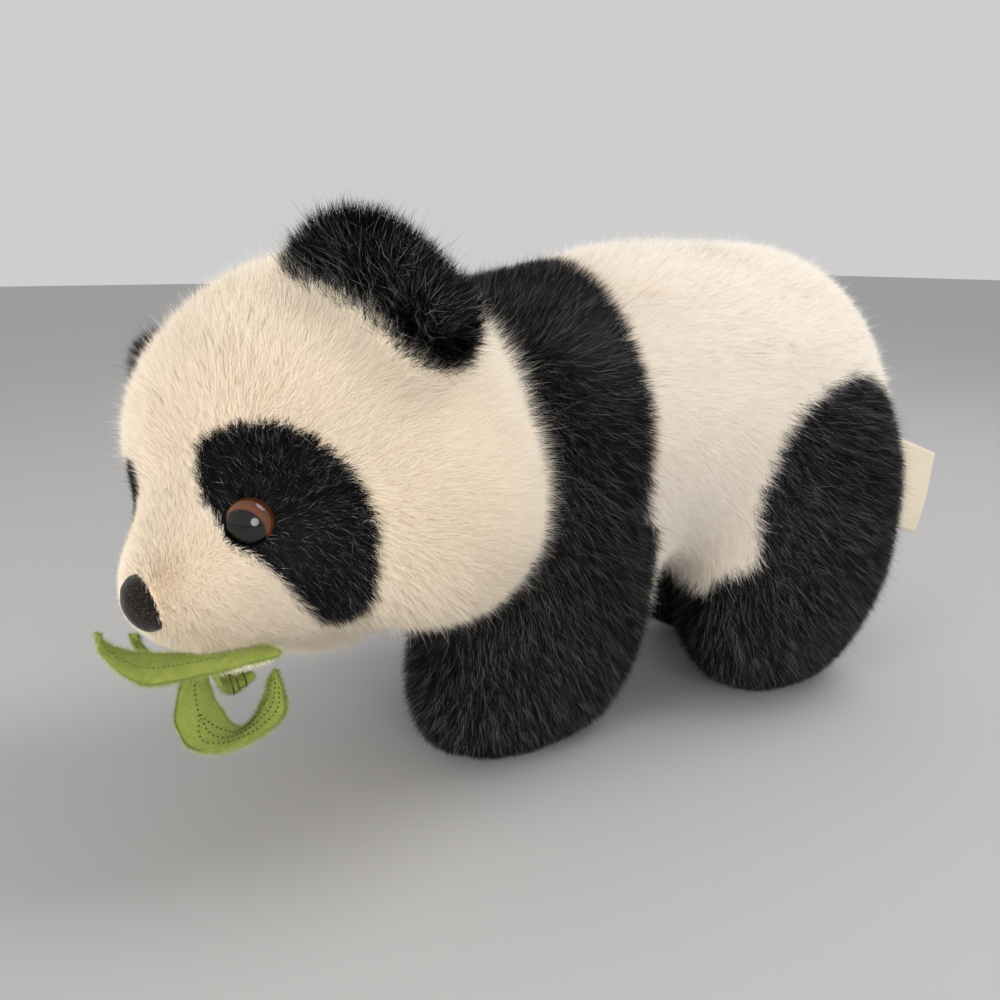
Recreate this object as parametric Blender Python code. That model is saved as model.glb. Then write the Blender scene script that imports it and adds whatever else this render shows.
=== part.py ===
"""Plush giant panda, standing on four legs and holding a sprig of felt bamboo leaves.

Metres, +Z up. The toy looks along -Y and its left side is +X. Every furry piece is drawn out to the tips of its pile.
The head and the body are each a smooth union of egg-shaped masses, modelled whole and then parted by thin cuts.
"""

import math

import bmesh
import bpy
import numpy as np
from mathutils import Euler, Matrix, Vector

GAP = 0.0003  # between pieces that touch
TOY_AT = Vector((-0.0138, 0.0195, 0))  # moves the middle of the toy's footprint onto the origin

# Head: its middle, and how it nods, rolls and looks to its left
HEAD_AT = Vector((0.028, -0.130, 0.128))
HEAD_TURN = Euler((math.radians(9.5), math.radians(-22), math.radians(22)))
HEAD_FACES = 700
HEAD_BLEND = 0.020

BODY_FACES = 2000
TRUNK_BLEND = 0.030  # between the masses of the trunk
LEG_BLEND = 0.014
HIP_BLEND = 0.012  # between a leg and the trunk
BELLY_HEIGHT = 0.058  # the legs stand free of the trunk below this
YOKE_BACK = -0.019  # the black yoke ends and the white barrel starts here, at a height of 0.1
YOKE_LEAN = 0.09  # how far that seam comes forward for each metre up
LEGS_MEET = 0.009  # between the left foreleg and the left hind leg, measured along Y
STRIDE_FORE = 0.028  # the right foreleg stands this much further back than the left
STRIDE_HIND = 0.022

LEGS_START = -0.16  # past the front of the forelegs
LEGS_END = 0.18  # past the back of the hind legs
CUT_REACH = 0.2  # how far a cutting block reaches past the toy's middle
INSET_BLEND = 0.004  # between the masses of an ear, a tail or a leg's inset

PATCH_DEPTH = 0.0045  # from the tips of a patch's pile to the cloth under it
FELT = 0.0014  # leaf thickness
LABEL_THICKNESS = 0.0009


def mass(at, radii, turn=(0, 0, 0)):
    """An egg: its centre, its three radii and its turn in degrees."""
    return Vector(at), Vector(radii), Euler([math.radians(angle) for angle in turn])


# Head masses lie in the head's own frame
headMasses = [
    mass((0, -0.001, 0.004), (0.069, 0.062, 0.064)),  # skull
    mass((0, -0.027, 0.012), (0.052, 0.037, 0.040)),  # brow
    mass((0.034, -0.004, -0.030), (0.037, 0.041, 0.041)),  # left cheek
    mass((-0.034, -0.004, -0.030), (0.037, 0.041, 0.041)),  # right cheek
    mass((-0.001, -0.061, -0.021), (0.037, 0.031, 0.025)),  # muzzle
    mass((0, -0.036, -0.036), (0.030, 0.034, 0.013)),  # jaw
]

trunkMasses = [
    mass((0, -0.055, 0.119), (0.066, 0.060, 0.067)),  # chest
    mass((0, 0.010, 0.129), (0.068, 0.070, 0.070)),  # back
    mass((0, 0.071, 0.125), (0.068, 0.066, 0.073)),  # rump
]

foreMasses = [
    mass((0.046, -0.058, 0.108), (0.032, 0.042, 0.062)),  # shoulder
    mass((0.039, -0.054, 0.066), (0.032, 0.053, 0.045)),  # shaft
    mass((0.033, -0.055, 0.038), (0.029, 0.051, 0.042)),  # foot
    mass((0.031, -0.076, 0.027), (0.024, 0.028, 0.030)),  # toes
]

hindMasses = [
    mass((0.048, 0.076, 0.094), (0.030, 0.051, 0.056)),  # haunch
    mass((0.044, 0.073, 0.060), (0.031, 0.051, 0.040)),  # shaft
    mass((0.037, 0.070, 0.041), (0.030, 0.051, 0.044)),  # foot
]

# Where a leg's cloth is let into the trunk: eggs that stand out past the trunk's side
foreInset = [
    mass((0.096, -0.060, 0.105), (0.068, 0.045, 0.064)),
    mass((0.090, -0.050, 0.070), (0.068, 0.055, 0.040)),
]
hindInset = [
    mass((0.096, 0.086, 0.094), (0.068, 0.063, 0.063)),
    mass((0.085, 0.070, 0.056), (0.066, 0.064, 0.022)),
    mass((0.042, 0.104, 0.066), (0.028, 0.050, 0.036)),
]

earMasses = [  # along the chord, through the flap, up the flap: the flap, then its drooping end
    mass((-0.001, 0, 0.002), (0.0315, 0.014, 0.0332)),
    mass((0.0210, -0.003, 0.0095), (0.0178, 0.015, 0.0170)),
]
EAR_AT = Vector((0.0507, -0.0095, 0.0325))
EAR_CHORD = Vector((0.63, 0.27, -0.73))
EAR_UP = Vector((0.76, -0.06, 0.60))

# Eye patch: its outline on a plane that faces this way, across and up from the head's middle
PATCH_YAW = math.radians(33)
PATCH_PITCH = math.radians(-10)
patchOutline = [
    (-0.019, 0.026),
    (-0.006, 0.027),
    (0.008, 0.022),
    (0.018, 0.008),
    (0.020, -0.010),
    (0.012, -0.029),
    (0.002, -0.041),
    (-0.010, -0.042),
    (-0.0090, -0.0275),
    (-0.0080, -0.0135),
    (-0.0140, 0.0005),
    (-0.0220, 0.0135),
]

EYE_AT = Vector((0.0316, -0.0666, -0.0104))
EYE_FACING = Vector((0.72, -0.68, 0.08))
eyeRadii = (0.0072, 0.0072, 0.0052)
NOSE_AT = Vector((-0.0015, -0.0885, -0.0205))
noseRadii = (0.0072, 0.0062, 0.0090)

tailMasses = [mass((0, 0.139, 0.128), (0.015, 0.012, 0.019), (20, 0, 0))]

# Leaves: the middle of the blade and its half width, from one end to the other
leafStations = {
    "leaf_upper": [
        ((0.0550, -0.2160, 0.0825), (0.0005, 0.0004, -0.0004)),
        ((0.0580, -0.2140, 0.0775), (0.0015, -0.0014, -0.0005)),
        ((0.0640, -0.2060, 0.0730), (0.0048, -0.0012, -0.0026)),
        ((0.0695, -0.1960, 0.0735), (0.0050, -0.0010, -0.0020)),
        ((0.0760, -0.1865, 0.0760), (0.0044, -0.0010, -0.0018)),
        ((0.0840, -0.1763, 0.0790), (0.0028, -0.0008, -0.0010)),
        ((0.0882, -0.1689, 0.0797), (0.0013, -0.0002, -0.0008)),
    ],
    "leaf_curl": [
        ((0.0690, -0.1915, 0.0755), (-0.0009, -0.0029, 0.0000)),
        ((0.0708, -0.1913, 0.0703), (-0.0005, -0.0036, 0.0000)),
        ((0.0747, -0.1922, 0.0654), (0.0003, -0.0048, 0.0004)),
        ((0.0781, -0.1919, 0.0600), (0.0009, -0.0069, 0.0006)),
        ((0.0803, -0.1895, 0.0545), (0.0023, -0.0075, 0.0000)),
        ((0.0808, -0.1845, 0.0520), (0.0042, -0.0056, -0.0003)),
        ((0.0790, -0.1770, 0.0527), (0.0060, -0.0020, -0.0004)),
        ((0.0755, -0.1695, 0.0568), (0.0056, 0.0012, -0.0011)),
        ((0.0725, -0.1670, 0.0618), (0.0038, 0.0010, -0.0011)),
        ((0.0689, -0.1661, 0.0665), (0.0010, 0.0002, 0.0002)),
    ],
    "leaf_back": [
        ((0.0780, -0.1840, 0.0800), (0.0020, 0.0004, -0.0004)),
        ((0.0720, -0.1850, 0.0695), (0.0022, 0.0002, -0.0010)),
        ((0.0700, -0.1815, 0.0648), (0.0023, 0.0002, -0.0020)),
        ((0.0700, -0.1777, 0.0652), (0.0020, 0.0001, -0.0014)),
        ((0.0695, -0.1727, 0.0662), (0.0008, 0.0000, -0.0007)),
    ],
    "leaf_far": [
        ((0.0410, -0.2040, 0.0750), (0.0006, 0.0011, 0.0000)),
        ((0.0441, -0.2037, 0.0724), (0.0008, 0.0014, -0.0004)),
        ((0.0520, -0.2015, 0.0705), (0.0010, 0.0022, 0.0000)),
        ((0.0620, -0.1990, 0.0712), (0.0008, 0.0024, 0.0000)),
        ((0.0700, -0.1970, 0.0760), (0.0008, 0.0024, 0.0000)),
    ],
}

# Label: its four corners, root top, root bottom, end bottom, end top
labelCorners = [
    Vector((0.034, 0.127, 0.116)),
    Vector((0.034, 0.121, 0.075)),
    Vector((0.030, 0.168, 0.0575)),
    Vector((0.030, 0.178, 0.0975)),
]

finishes = {  # colour, roughness
    "white_plush": ((0.86, 0.80, 0.72), 0.95),
    "black_plush": ((0.012, 0.012, 0.014), 0.90),
    "nose_flock": ((0.022, 0.014, 0.012), 0.85),
    "eye_plastic": ((0.030, 0.012, 0.006), 0.08),
    "leaf_felt": ((0.16, 0.32, 0.035), 0.95),
    "label_cloth": ((0.72, 0.68, 0.60), 0.85),
}

nodeFinish = {
    "head": "white_plush",
    "barrel": "white_plush",
    "tail": "white_plush",
    "yoke": "black_plush",
    "nose": "nose_flock",
    "label": "label_cloth",
}
for sideName in ("left", "right"):
    for stem in ("ear", "eye_patch", "foreleg", "hindleg"):
        nodeFinish[stem + "_" + sideName] = "black_plush"
    nodeFinish["eye_" + sideName] = "eye_plastic"
for leafName in leafStations:
    nodeFinish[leafName] = "leaf_felt"


# Surfaces


def eggField(points, masses, blend):
    """About the distance to the smooth union of the masses, less than zero inside."""
    total = None
    for at, radii, turn in masses:
        local = (points - np.array(at)) @ np.array(turn.to_matrix())
        r = np.array(radii)
        k0 = np.linalg.norm(local / r, axis=1)
        k1 = np.maximum(np.linalg.norm(local / (r * r), axis=1), 1e-9)
        distance = k0 * (k0 - 1) / k1
        total = distance if total is None else smoothMin(total, distance, blend)
    return total


def smoothMin(a, b, blend):
    h = np.maximum(blend - np.abs(a - b), 0) / blend
    return np.minimum(a, b) - h * h * blend / 4


def headField(points):
    return eggField(points, headMasses, HEAD_BLEND)


def placed(masses, side, step=0.0):
    """The masses of a left-hand piece on either side, moved a step back."""
    return [(Vector((side * at.x, at.y + step, at.z)), radii, turn) for at, radii, turn in masses]


legs = {  # masses, inset, side, stride, and where the free part starts and ends
    "foreleg_left": (foreMasses, foreInset, 1, 0.0, LEGS_START, LEGS_MEET),
    "foreleg_right": (foreMasses, foreInset, -1, STRIDE_FORE, LEGS_START, LEGS_MEET + STRIDE_FORE),
    "hindleg_left": (hindMasses, hindInset, 1, 0.0, LEGS_MEET, LEGS_END),
    "hindleg_right": (hindMasses, hindInset, -1, STRIDE_HIND, LEGS_MEET + STRIDE_FORE, LEGS_END),
}


def bodyField(points):
    """Trunk and legs. Each leg runs into the trunk, and no leg into another."""
    trunk = eggField(points, trunkMasses, TRUNK_BLEND)
    total = trunk
    for masses, _, side, stride, _, _ in legs.values():
        limb = eggField(points, placed(masses, side, stride), LEG_BLEND)
        total = np.minimum(total, smoothMin(trunk, limb, HIP_BLEND))
    return total


# Mesh tools


def newObject(name, mesh):
    obj = bpy.data.objects.new(name, mesh)
    bpy.context.scene.collection.objects.link(obj)
    return obj


def duplicate(obj, name):
    """A copy of the object with a mesh of its own."""
    copy = newObject(name, obj.data.copy())
    copy.matrix_world = obj.matrix_world.copy()
    return copy


def evaluated(obj):
    """The object's mesh with its modifiers applied. The object goes."""
    bpy.context.view_layer.update()
    graph = bpy.context.evaluated_depsgraph_get()
    mesh = bpy.data.meshes.new_from_object(obj.evaluated_get(graph))
    bpy.data.objects.remove(obj)
    return mesh


def fitted(mesh, surface, grow=0.0, floor=None):
    """A copy of the mesh with its vertices drawn onto the surface, or grown past it."""
    mesh = mesh.copy()
    co = np.empty(len(mesh.vertices) * 3, np.float32)
    mesh.vertices.foreach_get("co", co)
    p = co.reshape(-1, 3).astype(float)
    step = 1e-4
    for _ in range(8):
        f = surface(p) - grow
        slope = np.stack([(surface(p + axis) - grow - f) / step for axis in np.eye(3) * step], axis=1)
        p -= slope * (f / np.maximum((slope * slope).sum(axis=1), 0.05))[:, None]
    if floor is not None:
        p[:, 2] = np.maximum(p[:, 2], floor)
    mesh.vertices.foreach_set("co", p.astype(np.float32).ravel())
    mesh.update()
    return mesh


def skinOf(masses, surface, voxel, faces):
    """A closed mesh of about so many triangles round the masses, drawn onto the surface."""
    mesh = bpy.data.meshes.new("blank")
    bm = bmesh.new()
    for at, radii, turn in masses:
        matrix = Matrix.Translation(at) @ turn.to_matrix().to_4x4() @ Matrix.Diagonal((*radii, 1))
        bmesh.ops.create_icosphere(bm, subdivisions=4, radius=1, matrix=matrix)
    bm.to_mesh(mesh)
    bm.free()
    obj = newObject("blank", mesh)
    remesh = obj.modifiers.new("Remesh", "REMESH")
    remesh.mode = "VOXEL"
    remesh.voxel_size = voxel
    smooth = obj.modifiers.new("Smooth", "SMOOTH")
    smooth.factor = 0.5
    smooth.iterations = 3
    fine = fitted(evaluated(obj), surface)
    obj = newObject("fine", fine)
    fewer = obj.modifiers.new("Decimate", "DECIMATE")
    fewer.ratio = faces / (2 * len(fine.polygons))
    fewer.use_collapse_triangulate = True
    return evaluated(obj)


def boolean(obj, other, operation="DIFFERENCE"):
    """What one Boolean with another object leaves of the object. The other one stays."""
    modifier = obj.modifiers.new("Boolean", "BOOLEAN")
    modifier.operation = operation
    modifier.solver = "EXACT"
    modifier.object = other
    bpy.context.view_layer.update()
    name = obj.name
    matrix = obj.matrix_world.copy()
    result = newObject("result", largest(evaluated(obj)))
    result.name = name
    result.matrix_world = matrix
    return result


def largest(mesh):
    """Drops every loose scrap but the biggest body."""
    bm = bmesh.new()
    bm.from_mesh(mesh)
    left = set(bm.verts)
    bodies = []
    while left:
        edge = [left.pop()]
        body = set(edge)
        while edge:
            near = {e.other_vert(v) for v in edge for e in v.link_edges} - body
            body |= near
            edge = list(near)
        left -= body
        bodies.append(body)
    keep = max(bodies, key=len)
    bmesh.ops.delete(bm, geom=[v for v in bm.verts if v not in keep], context="VERTS")
    bmesh.ops.dissolve_degenerate(bm, dist=1e-6, edges=bm.edges)
    bm.to_mesh(mesh)
    bm.free()
    return mesh


def egg(name, radii, matrix, segments=12, rings=8):
    """A smooth egg, its poles along its own Z."""
    mesh = bpy.data.meshes.new(name)
    bm = bmesh.new()
    bmesh.ops.create_uvsphere(bm, u_segments=segments, v_segments=rings, radius=1)
    bmesh.ops.transform(bm, matrix=Matrix.Diagonal((*radii, 1)), verts=bm.verts)
    bm.to_mesh(mesh)
    bm.free()
    obj = newObject(name, mesh)
    obj.matrix_world = matrix
    return obj


def block(low, high):
    """A box from one corner to the other."""
    low, high = Vector(low), Vector(high)
    mesh = bpy.data.meshes.new("block")
    bm = bmesh.new()
    middle = Matrix.Translation((low + high) / 2) @ Matrix.Diagonal((*(high - low), 1))
    bmesh.ops.create_cube(bm, size=1, matrix=middle)
    bm.to_mesh(mesh)
    bm.free()
    return newObject("block", mesh)


def frameOf(across, up):
    """Axes with X across and Z nearest to up."""
    x = across.normalized()
    y = up.cross(x).normalized()
    return Matrix((x, y, x.cross(y))).transposed().to_4x4()


def smoothPath(points, count, closed=False):
    """A smooth curve through the points, as evenly stepped samples."""
    n = len(points)
    spans = n if closed else n - 1
    samples = []
    for k in range(count):
        t = k * spans / (count if closed else count - 1)
        i = min(int(t), spans - 1)
        f = t - i
        index = [(i + j) % n if closed else min(max(i + j, 0), n - 1) for j in (-1, 0, 1, 2)]
        a, b, c, d = (points[j] for j in index)
        samples.append(0.5 * (2 * b + (c - a) * f + (2 * a - 5 * b + 4 * c - d) * f * f + (3 * b - 3 * c + d - a) * f**3))
    return samples


# Pieces


def makeBody(headCutter):
    """Yoke, barrel and four legs, and the whole body a gap larger, to cut what is sewn to it."""
    everything = list(trunkMasses)
    for masses, _, side, stride, _, _ in legs.values():
        everything += placed(masses, side, stride)
    base = skinOf(everything, bodyField, 0.008, BODY_FACES)
    grown = newObject("grown", fitted(base, bodyField, GAP))
    whole = boolean(newObject("body", fitted(base, bodyField, floor=0.0)), headCutter)
    trunk = duplicate(whole, "trunk")
    for name, (_, inset, side, stride, front, back) in legs.items():
        eggs = placed(inset, side, stride)

        def lensField(points):
            return eggField(points, eggs, INSET_BLEND)

        lens = skinOf(eggs, lensField, 0.010, 220)
        for grow in (0.0, GAP):
            inner = GAP / 2 - grow
            across = sorted((side * inner, side * CUT_REACH))
            low = (across[0], front - grow, -CUT_REACH)
            high = (across[1], back + grow, BELLY_HEIGHT + grow)
            post = block(low, high)
            cutter = boolean(newObject("cutter", fitted(lens, lensField, grow)), post, "UNION")
            bpy.data.objects.remove(post)
            if grow:
                trunk = boolean(trunk, cutter)
            else:
                boolean(duplicate(whole, name), cutter, "INTERSECT")
            bpy.data.objects.remove(cutter)
    bpy.data.objects.remove(whole)
    for name, sign in (("yoke", -1), ("barrel", 1)):
        along = sorted((0, sign * CUT_REACH))
        half = block((-CUT_REACH, along[0], -CUT_REACH), (CUT_REACH, along[1], CUT_REACH))
        seam = Vector((0, YOKE_BACK + sign * GAP / 2, 0.1))
        half.matrix_world = Matrix.Translation(seam) @ Matrix.Rotation(math.atan(YOKE_LEAN), 4, "X")
        boolean(duplicate(trunk, name), half, "INTERSECT")
        bpy.data.objects.remove(half)
    bpy.data.objects.remove(trunk)
    return grown


def patchFrame(side):
    """The patch's plane in the head's frame: X across, outwards, Y up, Z out of the face."""
    facing = Vector((side * math.sin(PATCH_YAW), -math.cos(PATCH_YAW), math.tan(PATCH_PITCH))).normalized()
    across = Vector((side * math.cos(PATCH_YAW), math.sin(PATCH_YAW), 0))
    up = across.cross(facing) * -side
    return Matrix((across, up, facing)).transposed().to_4x4()


def patchPlug(side, grow, pose):
    """A plug on the patch's outline, from well inside the head to well outside it."""
    outline = smoothPath([Vector((x, y, 0)) for x, y in patchOutline], 20, closed=True)
    middle = sum(outline, Vector()) / len(outline)
    mesh = bpy.data.meshes.new("plug")
    bm = bmesh.new()
    verts = [bm.verts.new(p + (p - middle).normalized() * grow) for p in outline]
    bmesh.ops.translate(bm, verts=verts, vec=(0, 0, 0.03))
    face = bm.faces.new(verts)
    made = bmesh.ops.extrude_face_region(bm, geom=[face])
    moved = [v for v in made["geom"] if isinstance(v, bmesh.types.BMVert)]
    bmesh.ops.translate(bm, verts=moved, vec=(0, 0, 0.07))
    bmesh.ops.transform(bm, matrix=patchFrame(side), verts=bm.verts)
    bmesh.ops.recalc_face_normals(bm, faces=bm.faces)
    bm.to_mesh(mesh)
    bm.free()
    plug = newObject("plug", mesh)
    plug.matrix_world = pose
    return plug


def eyeMatrix(side, pose):
    facing = Vector((side * EYE_FACING.x, EYE_FACING.y, EYE_FACING.z)).normalized()
    at = Vector((side * EYE_AT.x, EYE_AT.y, EYE_AT.z))
    return pose @ Matrix.Translation(at) @ facing.to_track_quat("Z", "Y").to_matrix().to_4x4()


def makeHead(pose):
    """Head, eye patches, eyes, nose and ears. Returns the head grown by a gap."""
    base = skinOf(headMasses, headField, 0.006, HEAD_FACES)
    grown = newObject("grownHead", fitted(base, headField, GAP))
    core = newObject("core", fitted(base, headField, -PATCH_DEPTH))
    coreUnder = newObject("coreUnder", fitted(base, headField, -PATCH_DEPTH - GAP))
    head = newObject("head", fitted(base, headField))
    for obj in (grown, core, coreUnder, head):
        obj.matrix_world = pose
    whole = duplicate(head, "whole")

    for side, word in ((1, "left"), (-1, "right")):
        eyeCutter = egg("eyeCutter", [r + GAP for r in eyeRadii], eyeMatrix(side, pose))
        socket = boolean(boolean(patchPlug(side, GAP, pose), coreUnder), eyeCutter, "UNION")
        head = boolean(head, socket)
        bpy.data.objects.remove(socket)
        plug = boolean(patchPlug(side, 0, pose), core)
        patch = boolean(plug, whole, "INTERSECT")
        patch = boolean(patch, eyeCutter)
        patch.name = "eye_patch_" + word
        bpy.data.objects.remove(eyeCutter)
        egg("eye_" + word, eyeRadii, eyeMatrix(side, pose))

    noseMatrix = pose @ Matrix.Translation(NOSE_AT)
    noseCutter = egg("noseCutter", [r + GAP for r in noseRadii], noseMatrix)
    head = boolean(head, noseCutter)
    head.name = "head"
    bpy.data.objects.remove(noseCutter)
    egg("nose", noseRadii, noseMatrix)
    for obj in (core, coreUnder, whole):
        bpy.data.objects.remove(obj)
    return grown


def makeEars(pose, headCutter):
    """Two flaps, each cut at its foot to the head's curve."""
    for side, word in ((1, "left"), (-1, "right")):
        mesh = skinOf(earMasses, lambda points: eggField(points, earMasses, INSET_BLEND), 0.004, 320)
        mesh.transform(Matrix.Translation(EAR_AT) @ frameOf(EAR_CHORD, EAR_UP))
        if side < 0:
            mesh.transform(Matrix.Diagonal((-1, 1, 1, 1)))
            mesh.flip_normals()
        flap = newObject("flap", mesh)
        flap.matrix_world = pose
        boolean(flap, headCutter).name = "ear_" + word


def makeTail(bodyCutter):
    mesh = skinOf(tailMasses, lambda points: eggField(points, tailMasses, INSET_BLEND), 0.004, 130)
    boolean(newObject("stub", mesh), bodyCutter).name = "tail"


def sheet(name, rows, thickness):
    """A closed sheet of even thickness over rows of points."""
    mesh = bpy.data.meshes.new(name)
    bm = bmesh.new()
    grid = [[bm.verts.new(p) for p in row] for row in rows]
    for a, b in zip(grid, grid[1:]):
        for i in range(len(a) - 1):
            bm.faces.new((a[i], a[i + 1], b[i + 1], b[i]))
    bm.normal_update()
    bmesh.ops.recalc_face_normals(bm, faces=bm.faces)
    bm.to_mesh(mesh)
    bm.free()
    obj = newObject("sheet", mesh)
    solid = obj.modifiers.new("Solidify", "SOLIDIFY")
    solid.thickness = thickness
    solid.offset = 0
    solid.use_even_offset = False
    obj.modifiers.new("Triangulate", "TRIANGULATE")
    return newObject(name, evaluated(obj))


def bladeRows(stations):
    """Rows of points across a leaf, a little cupped along its middle."""
    count = 3 * (len(stations) - 1) + 1
    middles = smoothPath([Vector(at) for at, _ in stations], count)
    halves = smoothPath([Vector(half) for _, half in stations], count)
    rows = []
    for k, (middle, half) in enumerate(zip(middles, halves)):
        along = middles[min(k + 1, count - 1)] - middles[max(k - 1, 0)]
        cup = along.cross(half).normalized() * 0.12 * half.length
        rows.append([middle - half + cup, middle, middle + half + cup])
    return rows


def makeLeaves(headCutter):
    """Each leaf is a strip of felt, cut where it meets the head or the leaf it hangs from."""
    upper = sheet("upper", bladeRows(leafStations["leaf_upper"]), FELT + 2 * GAP)
    for name, stations in leafStations.items():
        leaf = boolean(sheet("leaf", bladeRows(stations), FELT), headCutter)
        if name != "leaf_upper":
            leaf = boolean(leaf, upper)
        leaf.name = name
    bpy.data.objects.remove(upper)


def makeLabel(bodyCutter):
    rootTop, rootBottom, endBottom, endTop = labelCorners
    rows = []
    for i in range(5):
        u = i / 4
        bow = Vector((0.0012 * math.sin(math.pi * u), 0, 0))
        rows.append([rootTop.lerp(rootBottom, u).lerp(endTop.lerp(endBottom, u), v / 4) + bow for v in range(5)])
    label = sheet("label", rows, LABEL_THICKNESS)
    boolean(label, bodyCutter).name = "label"


def finish():
    """Materials, and the whole toy moved to its place."""
    slots = {}
    for name, (colour, roughness) in finishes.items():
        slot = bpy.data.materials.new(name)
        slot.use_nodes = True
        shader = slot.node_tree.nodes["Principled BSDF"]
        shader.inputs["Base Color"].default_value = (*colour, 1)
        shader.inputs["Roughness"].default_value = roughness
        slot.diffuse_color = (*colour, 1)
        slots[name] = slot
    toy = newObject("toy", None)
    for name, slot in nodeFinish.items():
        obj = bpy.data.objects[name]
        obj.data.materials.clear()
        obj.data.materials.append(slots[slot])
        obj.data.shade_smooth()
        obj.parent = toy
    toy.location = TOY_AT


def main():
    for obj in list(bpy.data.objects):
        bpy.data.objects.remove(obj, do_unlink=True)
    pose = Matrix.Translation(HEAD_AT) @ HEAD_TURN.to_matrix().to_4x4()
    headCutter = makeHead(pose)
    makeEars(pose, headCutter)
    bodyCutter = makeBody(headCutter)
    makeTail(bodyCutter)
    makeLeaves(headCutter)
    makeLabel(bodyCutter)
    bpy.data.objects.remove(headCutter)
    bpy.data.objects.remove(bodyCutter)
    finish()


main()
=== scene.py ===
import math

import bmesh
import bpy
import numpy as np
from mathutils import Matrix, Vector
from mathutils.bvhtree import BVHTree


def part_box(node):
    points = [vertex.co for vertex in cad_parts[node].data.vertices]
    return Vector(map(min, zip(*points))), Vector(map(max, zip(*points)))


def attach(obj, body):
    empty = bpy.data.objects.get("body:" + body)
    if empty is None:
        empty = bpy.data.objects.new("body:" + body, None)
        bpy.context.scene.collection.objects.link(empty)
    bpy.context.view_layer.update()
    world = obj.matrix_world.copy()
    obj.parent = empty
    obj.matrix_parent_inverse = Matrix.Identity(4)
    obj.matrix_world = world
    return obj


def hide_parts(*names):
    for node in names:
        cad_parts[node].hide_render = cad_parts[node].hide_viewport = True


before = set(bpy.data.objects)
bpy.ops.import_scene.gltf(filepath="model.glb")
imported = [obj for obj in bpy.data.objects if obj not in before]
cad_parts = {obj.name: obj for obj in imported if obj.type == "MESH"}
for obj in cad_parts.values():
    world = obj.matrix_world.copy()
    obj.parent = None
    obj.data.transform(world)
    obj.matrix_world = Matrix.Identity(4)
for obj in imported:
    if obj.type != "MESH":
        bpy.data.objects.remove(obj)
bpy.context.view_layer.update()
root = "root"
print("frame loaded")


# Small helpers

def newObject(name, mesh):
    obj = bpy.data.objects.new(name, mesh)
    bpy.context.scene.collection.objects.link(obj)
    return obj


def bakedMesh(obj):  # the object's mesh with its modifiers applied; the object goes
    bpy.context.view_layer.update()
    graph = bpy.context.evaluated_depsgraph_get()
    mesh = bpy.data.meshes.new_from_object(obj.evaluated_get(graph))
    bpy.data.objects.remove(obj)
    return mesh


def meshFrom(bm, name):  # a smooth mesh of a finished bmesh, which is let go
    mesh = bpy.data.meshes.new(name)
    bm.to_mesh(mesh)
    bm.free()
    mesh.shade_smooth()
    return mesh


def sheetMesh(bm, name, uv, place):  # the same, faces turned outwards, with each vertex's place as its UV
    bmesh.ops.recalc_face_normals(bm, faces=bm.faces)
    for face in bm.faces:
        for corner in face.loops:
            corner[uv].uv = place[corner.vert]
    return meshFrom(bm, name)


def pointValues(mesh, name, values):  # an attribute with one number for each vertex
    data = mesh.attributes.new(name, "FLOAT", "POINT").data
    data.foreach_set("value", np.asarray(values, np.float32))


def weldedNode(name):  # a closed copy of a node's mesh
    bm = bmesh.new()
    bm.from_mesh(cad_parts[name].data)
    bmesh.ops.remove_doubles(bm, verts=bm.verts, dist=1e-5)
    return bm


def nodeMiddle(name):
    low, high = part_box(name)
    return (low + high) / 2


def vertexArray(mesh):
    co = np.empty(len(mesh.vertices) * 3, np.float32)
    mesh.vertices.foreach_get("co", co)
    return co.reshape(-1, 3).astype(float)


def triangleArray(mesh):
    mesh.calc_loop_triangles()
    tris = np.empty(len(mesh.loop_triangles) * 3, np.int32)
    mesh.loop_triangles.foreach_get("vertices", tris)
    return tris.reshape(-1, 3)


def unit(vectors):
    return vectors / np.maximum(np.linalg.norm(vectors, axis=-1, keepdims=True), 1e-12)


def smoothStep(low, high, x):
    t = np.clip((x - low) / (high - low), 0, 1)
    return t * t * (3 - 2 * t)


def newMaterial(name):
    material = bpy.data.materials.new(name)
    material.use_nodes = True
    tree = material.node_tree
    return material, tree, tree.nodes["Principled BSDF"]


def setInputs(tree, node, inputs):  # each takes a value or another node's output
    for key, value in inputs.items():
        socket = node.inputs[key]
        if isinstance(value, bpy.types.NodeSocket):
            tree.links.new(value, socket)
        else:
            socket.default_value = (*value, 1) if socket.type == "RGBA" else value


def addNode(tree, kind, inputs=None, **settings):
    node = tree.nodes.new(kind)
    for key, value in settings.items():
        setattr(node, key, value)
    setInputs(tree, node, inputs or {})
    return node


def attributeOf(tree, name):
    return addNode(tree, "ShaderNodeAttribute", attribute_name=name).outputs["Fac"]


def noiseOf(tree, scale, **more):  # a noise that is fixed to the object
    coords = addNode(tree, "ShaderNodeTexCoord").outputs["Object"]
    return addNode(tree, "ShaderNodeTexNoise", {"Vector": coords, "Scale": scale, **more}).outputs["Fac"]


def mathOf(tree, operation, *values):
    return addNode(tree, "ShaderNodeMath", dict(enumerate(values)), operation=operation).outputs["Value"]


def stretched(tree, value, low, high, **settings):  # low and high become 0 and 1
    span = {"Value": value, "From Min": low, "From Max": high}
    return addNode(tree, "ShaderNodeMapRange", span, **settings).outputs["Result"]


def mixed(tree, factor, first, second):
    colours = {"Factor": factor, "A": first, "B": second}
    return addNode(tree, "ShaderNodeMix", colours, data_type="RGBA").outputs["Result"]


def bumpOf(tree, height, strength, distance):
    relief = {"Height": height, "Strength": strength, "Distance": distance}
    return addNode(tree, "ShaderNodeBump", relief).outputs["Normal"]


# Camera, floor and light

view = {
    "place": (0.3492, -0.2195, 0.195),
    "azimuth": 62.5,  # how far the camera turns left of +Y
    "downward": 14.0,
    "lens": 36.0,
}

studio = {
    "floorColour": (0.50, 0.50, 0.505),
    "skyColour": (1.0, 0.995, 0.99),
    "skyStrength": 0.62,
}

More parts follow.
